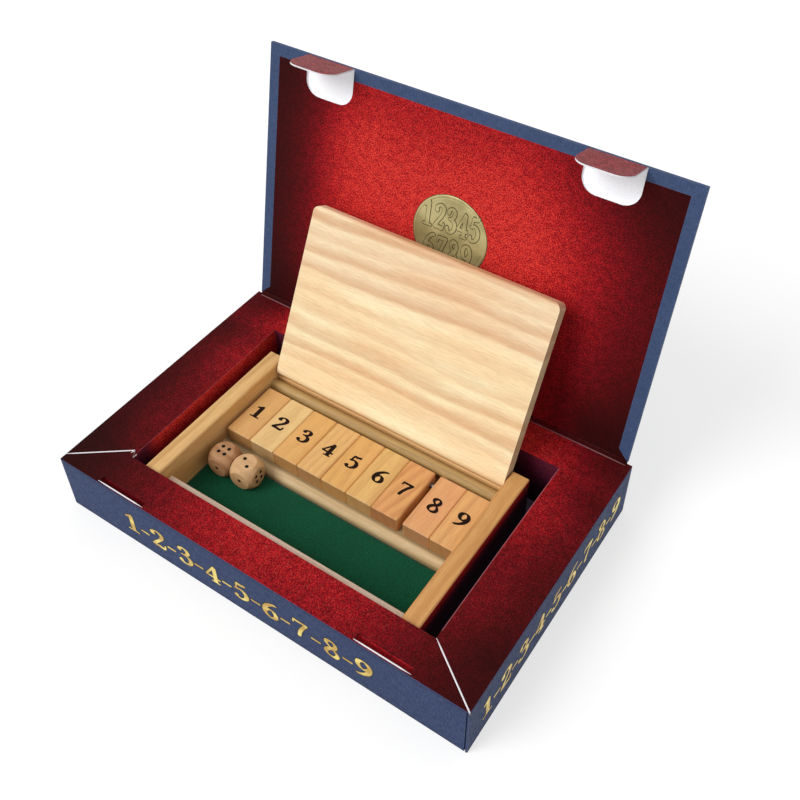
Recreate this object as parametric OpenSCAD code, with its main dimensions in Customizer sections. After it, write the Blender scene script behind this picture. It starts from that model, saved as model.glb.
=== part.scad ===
// Shut the box game: nine wooden number tiles in a wooden tray with its own lid. The tray
// stands in the well of a folding card carton. Both lids are open, as the game is played.
// X runs along the front edge, Y to the back and Z up, in millimetres.
// The origin is the middle of the carton's underside.

/* [Carton base] */
// Height of the base
carton_h = 29.5; // [28.5:0.5:36]
// Thickness of the folded card
card = 0.8; // [0.6:0.1:1]
// Width of the red surround in front of the well
surround_front = 17.3; // [14:0.1:24]
// Width of the red surround behind the well
surround_back = 17.6; // [16:0.1:24]
// Width of the red surround at each side of the well
surround_side = 24.7; // [20:0.1:30]
// How far the front flap laps over the left flap
flap_lap = 3.2; // [2:0.1:5]
// Gap between two flaps along a cut
cut_gap = 0.25; // [0.1:0.05:0.5]
// Gap at the corner where the front wall meets the right wall
corner_seam = 0.5; // [0.1:0.1:1]

/* [Room around the tray] */
// Room in the well to the left of the tray
room_left = 6.2; // [5:0.1:10]
// Room to the right of the tray
room_right = 7.6; // [5:0.1:10]
// Room in front of the tray
room_front = 0.2; // [0.2:0.1:1]
// Room behind the tray
room_back = 10.6; // [6:0.1:14]
// How far the tray's top lies below the carton's top
tray_drop = 1.5; // [1:0.1:2.5]
// Clearance between two parts that lift or slide apart
part_gap = 0.2; // [0.1:0.05:0.3]

/* [Carton lid] */
// How far the lid's sides lie inside the carton's sides
lid_inset = 2.3; // [1:0.1:4]
// How far the lid leans back past upright
lid_lean = 11.9; // [10:0.1:20]
// How far in from the back edge the hinge crease lies
crease_in = 0.5; // [0.4:0.1:1]
// Height of the crease above the base, which is the shut lid's clearance
crease_up = 0.4; // [0.4:0.05:0.8]
// Radius of the folded crease
crease_r = 0.35; // [0.25:0.05:0.4]
// Distance from the crease's middle line to the lid's flat panel
crease_reach = 0.7; // [0.6:0.1:1.5]
// Width of the blue border round the liner
border_w = 5; // [3:0.5:8]

/* [Closing tabs] */
// Width of each tab
tab_w = 23.2; // [16:0.2:30]
// Length of each tab from its fold
tab_l = 16.6; // [12:0.2:17]
// Radius of the tab's free corners
tab_corner_r = 6.5; // [3:0.5:8]
// Thickness of the tab's card
tab_t = 0.6; // [0.4:0.1:0.6]
// Angle from flat in its recess to folded out
tab_angle = 92; // [88:0.5:94]
// Gap round the tab when it lies flat in its recess
tab_kerf = 0.4; // [0.3:0.1:0.8]
// Distance from the lid's left side to the middle of the left tab
left_tab_in = 31.9; // [24:0.5:40]
// Distance from the lid's right side to the middle of the right tab
right_tab_in = 34.4; // [24:0.5:40]
// Play between the shut tab and its slot
slot_play = 0.3; // [0.2:0.05:0.5]

/* [Wooden tray] */
// Thickness of the side rails
side_rail_t = 7.9; // [5:0.1:10]
// Thickness of the front rail
front_rail_t = 6.2; // [4:0.1:7]
// Thickness of the back rail
back_rail_t = 6; // [5:0.1:7]
// Depth of the felt floor where the dice are thrown
felt_d = 28.9; // [26:0.1:32]
// Thickness of the felt
felt_t = 0.8; // [0.5:0.1:1.5]
// Thickness of the base board
board_t = 4; // [3:0.1:5]
// Small flat on the long edges of rails and tiles
edge_flat = 0.5; // [0.2:0.1:0.8]
// Clearance of glued and pressed wooden joints
glue_gap = 0.05; // [0.02:0.01:0.08]

/* [Tiles] */
// Width of one tile
tile_w = 12.8; // [12:0.1:14]
// Length of one tile
tile_l = 29.4; // [26:0.1:31]
// Thickness of one tile
tile_t = 8; // [6:0.1:8]
// Gap between neighbouring tiles
tile_gap = 0.14; // [0.1:0.01:0.3]
// Play on the rod to the left of the first tile
play_left = 1.8; // [0.5:0.1:3]
// Play between the seventh and the eighth tile
play_mid = 2.5; // [0.5:0.1:4]
// Play to the right of the ninth tile
play_right = 0.24; // [0.2:0.02:1]
// Distance from a tile's rear end to its rod
rod_in = 4; // [3.5:0.1:5]
// Radius of the steel rod through the tiles
rod_r = 1.25; // [1:0.05:1.5]
// Radial clearance of the tiles on the rod
rod_play = 0.07; // [0.04:0.01:0.1]
// Depth of the rod's holes in the side rails
rod_hole = 5; // [3:0.5:5]
// Gap between the turning tiles and the round strip behind them
strip_gap = 0.35; // [0.3:0.05:0.6]
// Diameter of the round strip that the raised tiles lean on
strip_d = 5.8; // [5:0.1:6.5]
// Width of the front strip that the tiles lie on
sill_w = 9.1; // [7:0.1:12]
// How far that strip stands out in front of the tiles
sill_out = 4.4; // [3:0.1:6]
// Radius of the front strip's rounded edge
sill_r = 3; // [1:0.1:3.5]

/* [Wooden lid] */
// Thickness of the lid
wood_lid_t = 6.5; // [5.5:0.1:7]
// Gap between the lid and each side rail
wood_lid_side = 0.6; // [0.4:0.1:1]
// Gap between the shut lid and the tray's front and back
wood_lid_end = 0.15; // [0.1:0.05:0.5]
// Radius of the lid's front corners
wood_lid_corner = 3; // [2:0.1:5]
// Radius of the lid's front edges
wood_lid_edge = 1.6; // [0.5:0.1:2.5]
// How far the open lid leans back past upright
wood_lid_lean = 27; // [24:0.1:30]
// Radius of the two lid pins
pin_r = 1; // [0.8:0.05:1.25]
// Radial clearance of the lid on its pins
pin_play = 0.06; // [0.04:0.01:0.1]
// How far each pin reaches into the lid
pin_reach = 7; // [5:0.5:10]
// Clearance under the shut lid
under_lid = 0.4; // [0.3:0.05:0.6]

/* [Dice] */
// Size of a die across its flats
die_s = 12; // [11:0.1:12.4]
// Radius of the ball that rounds a die's corners
die_ball = 7.6; // [7.5:0.1:9]
// Radius of a pip
pip_r = 0.95; // [0.7:0.05:1.1]
// Depth of a pip
pip_depth = 0.3; // [0.2:0.05:0.5]
// Distance between two pips side by side
pip_pitch = 3.2; // [2.6:0.1:3.6]
// Distance of the first die's middle from the left rail
die_1_x = 9.4; // [8:0.1:9.5]
// Distance of the second die's middle from the left rail
die_2_x = 21.8; // [21.7:0.1:40]
// Turn of the first die
die_1_turn = 1; // [0:0.5:3]
// Turn of the second die
die_2_turn = 4.5; // [0:0.5:6]
// Gap between the dice and the front strip
die_back = 0.3; // [0.3:0.1:2]

/* [Hidden] */
$fn = 48;

tile_count = 9;
split_after = 7;
over = 1;

// Sizes of the tray, which set the size of the well
inner_w = play_left + play_mid + play_right + tile_count * (tile_w + tile_gap);
tray_w = inner_w + 2 * side_rail_t;
tile_swing = sqrt(rod_in * rod_in + tile_t * tile_t / 4) - rod_in;
strip_zone = tile_swing + strip_gap + strip_d + glue_gap;
tray_d = front_rail_t + felt_d + sill_out + tile_l + strip_zone + back_rail_t;

// Plan of the carton, which is built round the tray
well_x = (tray_w + room_left + room_right) / 2;
carton_w = 2 * (well_x + surround_side);
carton_d = surround_front + room_front + tray_d + room_back + surround_back;
front_y = -carton_d / 2;
back_y = carton_d / 2;
side_x = carton_w / 2;
well_front = front_y + surround_front;
well_back = well_front + room_front + tray_d + room_back;

// Places along the tray, from front to back
tray_x = (room_left - room_right) / 2;
inner_left = tray_x - inner_w / 2;
inner_right = tray_x + inner_w / 2;
tray_front = well_front + room_front;
tray_back = tray_front + tray_d;
felt_front = tray_front + front_rail_t;
sill_front = felt_front + felt_d;
tile_front = sill_front + sill_out;
tile_back = tile_front + tile_l;
rod_y = tile_back - rod_in;
back_rail_y = tray_back - back_rail_t;
strip_y = back_rail_y - glue_gap - strip_d / 2;

// Heights in the tray, from the top down
tray_bottom = card + part_gap;
rail_top = carton_h - tray_drop;
rail_h = rail_top - tray_bottom;
lid_under = rail_top - wood_lid_t;
end_rail_top = lid_under - part_gap;
tile_top = lid_under - under_lid;
rod_z = tile_top - tile_t / 2;
sill_top = tile_top - tile_t - part_gap;
strip_z = tile_top - part_gap - strip_d / 2;
felt_top = tile_top - die_s;
board_top = felt_top - felt_t;

// Wooden lid, which turns on two pins at the middle of its rounded rear end
lid_round = wood_lid_t / 2;
pin_y = tray_back - wood_lid_end - lid_round;
pin_z = rail_top - lid_round;
wood_lid_l = tray_d - 2 * wood_lid_end;
wood_lid_w = inner_w - 2 * wood_lid_side;
pin_hole_r = pin_r + pin_play;

// Carton lid, hinged on the crease, and the slots for its tabs
crease_y = back_y - crease_in;
crease_z = carton_h + crease_up;
lid_w = carton_w - 2 * lid_inset;
slot_front = front_y + card;
tab_root = 0.35;
tab_sink = 0.05;
lid_l = lid_length(crease_y - slot_front - slot_play);
slot_back = crease_y - lid_l + tab_sink + tab_t + slot_play;
left_tab_x = -lid_w / 2 + left_tab_in;
right_tab_x = lid_w / 2 - right_tab_in;
slot_w = tab_w + 2 * tab_kerf;
recess_w = tab_w + 2 * tab_kerf;
recess_l = tab_l + tab_kerf;

// Length of the lid at which the tip of a folded tab turns about the crease at this reach
function lid_length(reach) =
    tab_l * sin(90 - tab_angle) + sqrt(reach * reach - pow(tab_l * cos(90 - tab_angle), 2));

// Left side of tile number n
function tile_x(n) = inner_left + play_left + (n - 1) * (tile_w + tile_gap)
    + (n > split_after ? play_mid : 0);

// Rectangle with its long edges cut off flat by c
module cut_rect(w, h, c)
    polygon([[c, 0], [w - c, 0], [w, c], [w, h - c], [w - c, h], [c, h], [0, h - c], [0, c]]);

// Block from the origin, with every edge cut off flat by c
module eased_block(size, c) {
    intersection() {
        linear_extrude(size[2]) cut_rect(size[0], size[1], c);
        translate([0, size[1], 0]) rotate([90, 0, 0])
            linear_extrude(size[1]) cut_rect(size[0], size[2], c);
        rotate([90, 0, 90]) linear_extrude(size[0]) cut_rect(size[1], size[2], c);
    }
}

// Rectangle with round corners of radius r at its lower side, open side up
module tongue(w, l, r) {
    translate([-w / 2, r]) square([w, l - r]);
    translate([-w / 2 + r, 0]) square([w - 2 * r, r + 0.01]);
    for (side = [-1, 1])
        translate([side * (w / 2 - r), r]) circle(r);
}

// Outline of the front flap, whose cuts run to the corners of the well
module front_flap_outline()
    polygon([[-side_x, front_y], [side_x, front_y], [well_x, well_front],
        [-well_x, well_front], [-well_x - flap_lap / 2, well_front + flap_lap],
        [-side_x, front_y + flap_lap]]);

// Everything in the area of the front flap, and a gap behind it
module front_flap_cut()
    translate([0, 0, carton_h - card - cut_gap]) linear_extrude(card + cut_gap + over) {
        front_flap_outline();
        translate([0, cut_gap]) front_flap_outline();
        translate([-side_x, front_y]) square([carton_w, cut_gap]);
    }

module flap_plate() translate([0, 0, carton_h - card]) linear_extrude(card) children();

// Wall of the well, which hangs from its flap down to the carton's floor
module well_wall(x0, x1, y0, y1)
    translate([x0, y0, card]) cube([x1 - x0, y1 - y0, carton_h - card]);

module carton_floor()
    color("lightgray") translate([-side_x + card, front_y + card, 0])
        cube([carton_w - 2 * card, carton_d - 2 * card, card]);

module front_wall()
    color("steelblue") translate([-side_x, front_y, 0])
        cube([carton_w - card - corner_seam, card, carton_h - card]);

module back_wall()
    color("steelblue") translate([-side_x + card, back_y - card, 0])
        cube([carton_w - 2 * card, card, carton_h - card]);

module left_wall()
    color("steelblue") translate([-side_x, front_y + card, 0])
        cube([card, carton_d - card, carton_h - card]);

module right_wall()
    color("steelblue") translate([side_x - card, front_y, 0])
        cube([card, carton_d, carton_h - card]);

// Front flap with the two slots that the lid's tabs go into, and its wall of the well
module front_surround() {
    color("crimson") {
        difference() {
            flap_plate() front_flap_outline();
            for (x = [left_tab_x, right_tab_x])
                translate([x - slot_w / 2, slot_front, carton_h - card - over])
                    cube([slot_w, slot_back - slot_front, card + 2 * over]);
        }
        well_wall(-well_x, well_x, well_front - card, well_front);
    }
}

module back_surround() {
    color("crimson") {
        flap_plate() polygon([[-well_x, well_back], [well_x, well_back],
            [side_x, back_y], [-side_x, back_y]]);
        well_wall(-well_x, well_x, well_back, well_back + card);
    }
}

// Side flap with its wall of the well, cut back where the front flap laps over it
module side_surround(side)
    difference() {
        union() {
            flap_plate() polygon([[side * well_x, well_front], [side * side_x, front_y],
                [side * side_x, back_y], [side * well_x, well_back]]);
            well_wall(min(side * well_x, side * (well_x + card)),
                max(side * well_x, side * (well_x + card)), well_front, well_back);
        }
        front_flap_cut();
    }

module left_surround() color("crimson") side_surround(-1);

module right_surround() color("crimson") side_surround(1);

module hinge_crease()
    color("darkred") translate([-lid_w / 2, crease_y, crease_z])
        rotate([0, 90, 0]) cylinder(r = crease_r, h = lid_w);

// Places parts drawn for the shut carton lid: the crease is the X axis, the lid lies
// along -Y with its inner face at Z = 0, and it is turned up to where it leans back.
module on_carton_lid()
    translate([0, crease_y, crease_z]) rotate([-90 - lid_lean, 0, 0]) children();

// Area of both recesses that the tabs were cut from
module recess_cut()
    for (x = [left_tab_x, right_tab_x])
        translate([x, -lid_l + recess_l, -over]) linear_extrude(card + over)
            mirror([0, 1, 0]) tongue(recess_w, recess_l + over, tab_corner_r + tab_kerf);

module lid_panel()
    color("steelblue") on_carton_lid() translate([-lid_w / 2, -lid_l, card])
        cube([lid_w, lid_l - crease_reach, card]);

// Red liner, which reaches the crease between the cut ends of the side borders
module lid_liner()
    color("firebrick") on_carton_lid() difference() {
        linear_extrude(card) polygon([
            [-lid_w / 2, -crease_reach], [lid_w / 2, -crease_reach],
            [lid_w / 2 - border_w, -crease_reach - border_w],
            [lid_w / 2 - border_w, -lid_l + border_w],
            [-lid_w / 2 + border_w, -lid_l + border_w],
            [-lid_w / 2 + border_w, -crease_reach - border_w]]);
        recess_cut();
    }

module lid_side_border(side)
    color("steelblue") on_carton_lid() linear_extrude(card) polygon([
        [side * lid_w / 2, -crease_reach], [side * lid_w / 2, -lid_l],
        [side * (lid_w / 2 - border_w), -lid_l + border_w],
        [side * (lid_w / 2 - border_w), -crease_reach - border_w]]);

module lid_left_border() lid_side_border(-1);

module lid_right_border() lid_side_border(1);

// Piece of the front border, from and to the given places along its outer and inner edge
module lid_front_border(outer, inner)
    color("steelblue") on_carton_lid() linear_extrude(card) polygon([
        [outer[0], -lid_l], [outer[1], -lid_l],
        [inner[1], -lid_l + border_w], [inner[0], -lid_l + border_w]]);

module lid_front_border_left() {
    end = left_tab_x - recess_w / 2;
    lid_front_border([-lid_w / 2, end], [-lid_w / 2 + border_w, end]);
}

module lid_front_border_middle() {
    ends = [left_tab_x + recess_w / 2, right_tab_x - recess_w / 2];
    lid_front_border(ends, ends);
}

module lid_front_border_right() {
    end = right_tab_x + recess_w / 2;
    lid_front_border([end, lid_w / 2], [end, lid_w / 2 - border_w]);
}

// Tab folded out from the lid's edge, with its root in the fold
module closing_tab(x)
    color("brown") on_carton_lid() translate([x, -lid_l, 0]) rotate([-tab_angle, 0, 0])
        translate([0, tab_l, tab_sink]) linear_extrude(tab_t) mirror([0, 1, 0])
            tongue(tab_w, tab_l + tab_root, tab_corner_r);

module left_tab() closing_tab(left_tab_x);

module right_tab() closing_tab(right_tab_x);

// Side rail, bored for the lid's pin and for the end of the tile rod
module side_rail(x, inward) {
    difference() {
        translate([x, tray_front, tray_bottom])
            eased_block([side_rail_t, tray_d, rail_h], edge_flat);
        translate([x - over, pin_y, pin_z]) rotate([0, 90, 0])
            cylinder(r = pin_r + glue_gap, h = side_rail_t + 2 * over);
        translate([inward > 0 ? inner_left - rod_hole : inner_right - over, rod_y, rod_z])
            rotate([0, 90, 0]) cylinder(r = rod_r + glue_gap, h = rod_hole + over);
    }
}

module tray_left_rail() color("burlywood") side_rail(inner_left - side_rail_t, 1);

module tray_right_rail() color("burlywood") side_rail(inner_right, -1);

// Lower rail between the side rails, which the shut lid covers
module end_rail(y, thick)
    translate([inner_left + glue_gap, y, tray_bottom])
        eased_block([inner_w - 2 * glue_gap, thick, end_rail_top - tray_bottom], edge_flat);

module tray_front_rail() color("burlywood") end_rail(tray_front, front_rail_t);

module tray_back_rail() color("burlywood") end_rail(back_rail_y, back_rail_t);

module tray_base()
    color("wheat") translate([inner_left + glue_gap, felt_front + glue_gap, board_top - board_t])
        cube([inner_w - 2 * glue_gap, back_rail_y - felt_front - 2 * glue_gap, board_t]);

module felt()
    color("darkgreen") translate([inner_left + part_gap, felt_front + part_gap, board_top])
        cube([inner_w - 2 * part_gap, felt_d - 2 * part_gap, felt_t]);

// Strip on the base board that the tiles lie on, with a rounded front edge
module tile_sill() {
    sill_h = sill_top - board_top;
    color("burlywood") translate([inner_left + glue_gap, sill_front, board_top])
        rotate([90, 0, 90]) linear_extrude(inner_w - 2 * glue_gap) difference() {
            square([sill_w, sill_h]);
            translate([0, sill_h - sill_r]) difference() {
                translate([-over, 0]) square([sill_r + over, sill_r + over]);
                translate([sill_r, 0]) circle(sill_r);
            }
        }
}

module tile_stop_strip()
    color("burlywood") translate([inner_left + glue_gap, strip_y, strip_z])
        rotate([0, 90, 0]) cylinder(d = strip_d, h = inner_w - 2 * glue_gap);

module tile_rod()
    color("silver") translate([inner_left - rod_hole + glue_gap, rod_y, rod_z])
        rotate([0, 90, 0]) cylinder(r = rod_r, h = inner_w + 2 * rod_hole - 2 * glue_gap);

module lid_pin(x)
    color("silver") translate([x, pin_y, pin_z]) rotate([0, 90, 0])
        cylinder(r = pin_r, h = side_rail_t + wood_lid_side + pin_reach);

module left_lid_pin() lid_pin(inner_left - side_rail_t);

module right_lid_pin() lid_pin(inner_right - wood_lid_side - pin_reach);

// Places parts drawn for the shut wooden lid, with the pins' line as the X axis
module on_wooden_lid()
    translate([tray_x, pin_y, pin_z]) rotate([-90 - wood_lid_lean, 0, 0]) children();

// Side view of the lid: a full round at the pins and two rounded edges at the front
module wooden_lid_profile() {
    reach = wood_lid_l - lid_round;
    circle(lid_round);
    translate([-reach + wood_lid_edge, -lid_round])
        square([reach - wood_lid_edge, wood_lid_t]);
    translate([-reach, -lid_round + wood_lid_edge])
        square([wood_lid_edge + 0.01, wood_lid_t - 2 * wood_lid_edge]);
    for (side = [-1, 1])
        translate([-reach + wood_lid_edge, side * (lid_round - wood_lid_edge)])
            circle(wood_lid_edge);
}

module wooden_lid()
    color("navajowhite") on_wooden_lid() difference() {
        intersection() {
            rotate([90, 0, 90]) translate([0, 0, -wood_lid_w / 2])
                linear_extrude(wood_lid_w) wooden_lid_profile();
            translate([0, -wood_lid_l + lid_round, -wood_lid_t])
                linear_extrude(2 * wood_lid_t) tongue(wood_lid_w, wood_lid_l, wood_lid_corner);
        }
        for (side = [-1, 1])
            translate([side * (wood_lid_w / 2 - pin_reach / 2), 0, 0]) rotate([0, 90, 0])
                cylinder(r = pin_hole_r, h = pin_reach + 2 * pin_play, center = true);
    }

// Number tile, bored near its rear end for the rod
module tile(n)
    color("tan") difference() {
        translate([tile_x(n), tile_front, tile_top - tile_t])
            eased_block([tile_w, tile_l, tile_t], edge_flat);
        translate([tile_x(n) - over, rod_y, rod_z]) rotate([0, 90, 0])
            cylinder(r = rod_r + rod_play, h = tile_w + 2 * over);
    }

// Places of the pips of each count, in steps of the pip pitch
function pips(count) =
    count == 1 ? [[0, 0]]
    : count == 2 ? [[-0.5, 0.5], [0.5, -0.5]]
    : count == 3 ? [[-0.8, 0.8], [0, 0], [0.8, -0.8]]
    : count == 4 ? [[-0.5, 0.5], [0.5, 0.5], [-0.5, -0.5], [0.5, -0.5]]
    : count == 5 ? [[-0.8, 0.8], [0.8, 0.8], [0, 0], [-0.8, -0.8], [0.8, -0.8]]
    : [for (row = [-0.8, 0, 0.8], column = [-0.5, 0.5]) [column, row]];

// Shallow round hollows on the face that looks along Z
module pip_cuts(count) {
    ball = (pip_r * pip_r + pip_depth * pip_depth) / (2 * pip_depth);
    for (place = pips(count))
        translate([place[0] * pip_pitch, place[1] * pip_pitch,
            die_s / 2 - pip_depth + ball]) sphere(ball, $fn = 32);
}

// Die with the counts on its top, front and right faces; opposite faces add up to seven
module die(x, turn, top, front, right)
    color("peru") translate([inner_left + x, sill_front - die_back - die_s / 2,
        felt_top + die_s / 2]) rotate([0, 0, turn])
        difference() {
            intersection() {
                cube(die_s, center = true);
                sphere(die_ball, $fn = 64);
            }
            pip_cuts(top);
            rotate([180, 0, 0]) pip_cuts(7 - top);
            rotate([90, 0, 0]) pip_cuts(front);
            rotate([-90, 0, 0]) pip_cuts(7 - front);
            rotate([0, 90, 0]) pip_cuts(right);
            rotate([0, -90, 0]) pip_cuts(7 - right);
        }

module die_1() die(die_1_x, die_1_turn, 4, 1, 5);

module die_2() die(die_2_x, die_2_turn, 2, 1, 4);

carton_floor();
front_wall();
back_wall();
left_wall();
right_wall();
front_surround();
back_surround();
left_surround();
right_surround();
hinge_crease();
lid_panel();
lid_liner();
lid_left_border();
lid_right_border();
lid_front_border_left();
lid_front_border_middle();
lid_front_border_right();
left_tab();
right_tab();
tray_left_rail();
tray_right_rail();
tray_front_rail();
tray_back_rail();
tray_base();
felt();
tile_sill();
tile_stop_strip();
tile_rod();
left_lid_pin();
right_lid_pin();
wooden_lid();
tile(1);  // tile_1
tile(2);  // tile_2
tile(3);  // tile_3
tile(4);  // tile_4
tile(5);  // tile_5
tile(6);  // tile_6
tile(7);  // tile_7
tile(8);  // tile_8
tile(9);  // tile_9
die_1();
die_2();
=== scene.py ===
import math

import bmesh
import bpy
import numpy as np
from mathutils import Matrix, Vector


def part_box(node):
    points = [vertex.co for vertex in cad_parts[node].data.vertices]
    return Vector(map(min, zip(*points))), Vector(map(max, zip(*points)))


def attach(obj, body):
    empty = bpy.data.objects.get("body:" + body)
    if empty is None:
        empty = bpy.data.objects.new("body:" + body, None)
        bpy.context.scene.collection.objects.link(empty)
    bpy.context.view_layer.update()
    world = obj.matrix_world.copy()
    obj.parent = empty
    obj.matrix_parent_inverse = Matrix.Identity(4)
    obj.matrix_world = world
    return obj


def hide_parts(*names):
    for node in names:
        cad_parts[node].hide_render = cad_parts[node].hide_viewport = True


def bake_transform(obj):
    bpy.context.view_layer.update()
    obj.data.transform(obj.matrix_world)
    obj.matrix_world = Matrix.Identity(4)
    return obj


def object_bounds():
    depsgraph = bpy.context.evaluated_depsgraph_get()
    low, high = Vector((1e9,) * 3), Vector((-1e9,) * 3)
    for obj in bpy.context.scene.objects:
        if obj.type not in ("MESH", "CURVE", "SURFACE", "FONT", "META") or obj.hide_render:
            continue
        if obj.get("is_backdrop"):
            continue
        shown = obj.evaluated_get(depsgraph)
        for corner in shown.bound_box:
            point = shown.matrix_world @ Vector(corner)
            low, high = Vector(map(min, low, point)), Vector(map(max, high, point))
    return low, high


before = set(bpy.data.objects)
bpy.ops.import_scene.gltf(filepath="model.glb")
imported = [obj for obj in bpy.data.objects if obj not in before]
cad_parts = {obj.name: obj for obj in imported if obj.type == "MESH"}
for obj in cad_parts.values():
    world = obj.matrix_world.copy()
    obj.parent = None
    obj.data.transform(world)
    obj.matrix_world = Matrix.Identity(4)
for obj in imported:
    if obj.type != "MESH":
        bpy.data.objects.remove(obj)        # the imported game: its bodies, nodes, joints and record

cad_low, cad_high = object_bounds()


# ---------------------------------------------------------------- Blue card walls
# The carton is folded from card that is covered with blue paper, embossed like linen. Four
# walls stand round the floor, glued at the corners. The paper is rubbed pale on the folds.

def srgb(r, g, b):
    """Linear colour from the eight-bit values of a colour picker."""
    return tuple((v / 255 / 12.92 if v <= 10 else ((v / 255 + 0.055) / 1.055) ** 2.4)
                 for v in (r, g, b)) + (1.0,)


def put(tree, kind, sockets=None, out=0, **settings):
    """Adds a shader node, sets it, fills or links its inputs, and gives its output."""
    node = tree.nodes.new("ShaderNode" + kind)
    for name, value in settings.items():
        setattr(node, name, value)
    for key, value in (sockets or {}).items():
        if isinstance(value, bpy.types.NodeSocket):
            tree.links.new(value, node.inputs[key])
        else:
            node.inputs[key].default_value = value
    return node.outputs[out]


def calc(tree, operation, a, b=0.0, c=0.0):
    """One step of arithmetic on values or sockets."""
    return put(tree, "Math", {0: a, 1: b, 2: c}, operation=operation)


def times(tree, product, *factors):
    """Product of all these values."""
    for factor in factors:
        product = calc(tree, "MULTIPLY", product, factor)
    return product


def most(tree, largest, *others):
    """The largest of these values."""
    for value in others:
        largest = calc(tree, "MAXIMUM", largest, value)
    return largest


def off(tree, value, middle):
    """How far a value is from this one, either way."""
    return calc(tree, "ABSOLUTE", calc(tree, "SUBTRACT", value, middle))


def axes(tree, vector):
    """The three parts of a place or a direction."""
    return put(tree, "SeparateXYZ", {0: vector}, out=slice(3))


def local(tree, kind="Object"):
    """Place on the piece, in metres, or with "Normal" the direction a surface faces."""
    return put(tree, "TexCoord", out=kind)


def spread(tree, value, low, high, to_low=0.0, to_high=1.0):
    """Takes a value from one range to another, with soft ends."""
    return put(tree, "MapRange", {"Value": value, "From Min": low, "From Max": high,
               "To Min": to_low, "To Max": to_high}, interpolation_type="SMOOTHSTEP")


def fades(tree, *parts):
    """Product of soft changes, each (value, low, high), and its ends if not 0 and 1."""
    return times(tree, *(spread(tree, *part) for part in parts))


def mix(tree, share, a, b, how="MIX"):
    """Colour a with this share of colour b over it."""
    return put(tree, "Mix", {0: share, 6: a, 7: b}, out=2, data_type="RGBA", blend_type=how)


def stretch(tree, vector, x, y, z, move=(0.0, 0.0, 0.0)):
    """A place scaled along each axis, so that what is drawn there is drawn out."""
    return put(tree, "Mapping", {"Vector": vector, "Location": move, "Scale": (x, y, z)})


def grain_noise(tree, vector, scale=1.0, detail=2.0, rough=0.5):
    """Soft noise of this fineness, about 0.5 on average."""
    return put(tree, "TexNoise", {"Vector": vector, "Scale": scale, "Detail": detail,
               "Roughness": rough})


def new_group(name, inputs, outputs):
    """Starts a node group with these sockets; gives its tree, its inputs and its outputs."""
    tree = bpy.data.node_groups.new(name, "ShaderNodeTree")
    for direction, sockets in (("INPUT", inputs), ("OUTPUT", outputs)):
        for label, kind in sockets:
            tree.interface.new_socket(label, in_out=direction,
                                      socket_type="NodeSocket" + kind)
    return tree, tree.nodes.new("NodeGroupInput").outputs, tree.nodes.new(
        "NodeGroupOutput").inputs


def use(tree, group, **sockets):
    """Places a node group in a material and gives its outputs by name."""
    node = tree.nodes.new("ShaderNodeGroup")
    node.node_tree = group
    for key, value in sockets.items():
        key = key.replace("_", " ")
        if isinstance(value, bpy.types.NodeSocket):
            tree.links.new(value, node.inputs[key])
        else:
            node.inputs[key].default_value = value
    return node.outputs


def new_material(name, **plain):
    """Material of one Principled shader with these plain values."""
    material = bpy.data.materials.new(name)
    material.use_nodes = True
    shader = material.node_tree.nodes["Principled BSDF"]
    for key, value in plain.items():
        shader.inputs[key.replace("_", " ")].default_value = value
    return material, material.node_tree, shader.inputs


def finish_surface(tree, shader, colour, rough, height, depth):
    """Links colour, roughness and a bump of this depth in metres to the shader."""
    tree.links.new(colour, shader["Base Color"])
    tree.links.new(rough, shader["Roughness"])
    bump = put(tree, "Bump", {"Height": height, "Distance": depth, "Strength": 1.0})
    tree.links.new(bump, shader["Normal"])


def dress(material, *names):
    """Gives CAD nodes this material in every slot."""
    for name in names:
        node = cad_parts[name]
        if not node.material_slots:
            node.data.materials.append(material)
        for place in node.material_slots:
            place.material = material


# Linen embossing: threads across each axis, seen on the faces that run along that axis
linen, given, result = new_group(
    "linen embossing",
    (("Place", "Vector"), ("Facing", "Vector"), ("Threads per mm", "Float")),
    (("Weave", "Float"), ("Cloud", "Float")))
per_mm = times(linen, given["Threads per mm"], 1000.0)
fine = put(linen, "VectorMath", {0: given["Place"], 3: per_mm}, operation="SCALE")
facing = axes(linen, given["Facing"])
weave = 0.0
for axis in range(3):
    steps = [0.12, 0.12, 0.12]
    steps[axis] = 1.0
    threads = grain_noise(linen, stretch(linen, fine, *steps), 1.0, 1.0)
    along = calc(linen, "SUBTRACT", 1.0, calc(linen, "ABSOLUTE", facing[axis]))
    weave = calc(linen, "MULTIPLY_ADD", spread(linen, threads, 0.3, 0.7), along, weave)
linen.links.new(times(linen, weave, 0.5), result["Weave"])
cloud = grain_noise(linen, given["Place"], 40.0, 2.0)
linen.links.new(cloud, result["Cloud"])

# Edge wear and painted edge highlight: how near the surface is to a sharp outside edge, broken up
# like wear
edge_wear_and_highlight_mask, given, result = new_group(
    "edge wear and highlight", (("Place", "Vector"), ("Reach", "Float"), ("Patches", "Float")),
    (("Edge", "Float"),))
rounded = put(edge_wear_and_highlight_mask, "Bevel", {"Radius": given["Reach"]}, samples=4)
flat = put(edge_wear_and_highlight_mask, "NewGeometry", out="Normal")
turn = put(edge_wear_and_highlight_mask, "VectorMath", {0: rounded, 1: flat}, operation="DOT_PRODUCT", out="Value")
near = spread(edge_wear_and_highlight_mask, turn, 0.995, 0.86)
patches = spread(edge_wear_and_highlight_mask, grain_noise(edge_wear_and_highlight_mask, given["Place"], given["Patches"], 4.0, 0.7),
                 0.35, 0.65)
edge_wear_and_highlight_mask.links.new(times(edge_wear_and_highlight_mask, near, patches), result["Edge"])

LINEN_PER_MM, LINEN_DEEP = 2.6, 0.00004           # threads in a millimetre, and their height
LID_LEAN = math.radians(-101.9)                   # carton lid from shut to where it leans
CREASE = Vector((0.0, 0.063728, 0.0299))          # fold line that the carton lid turns on
LID_TURNED_IN = -0.1246        # along the lid from the crease: blue paper is turned in here


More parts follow.
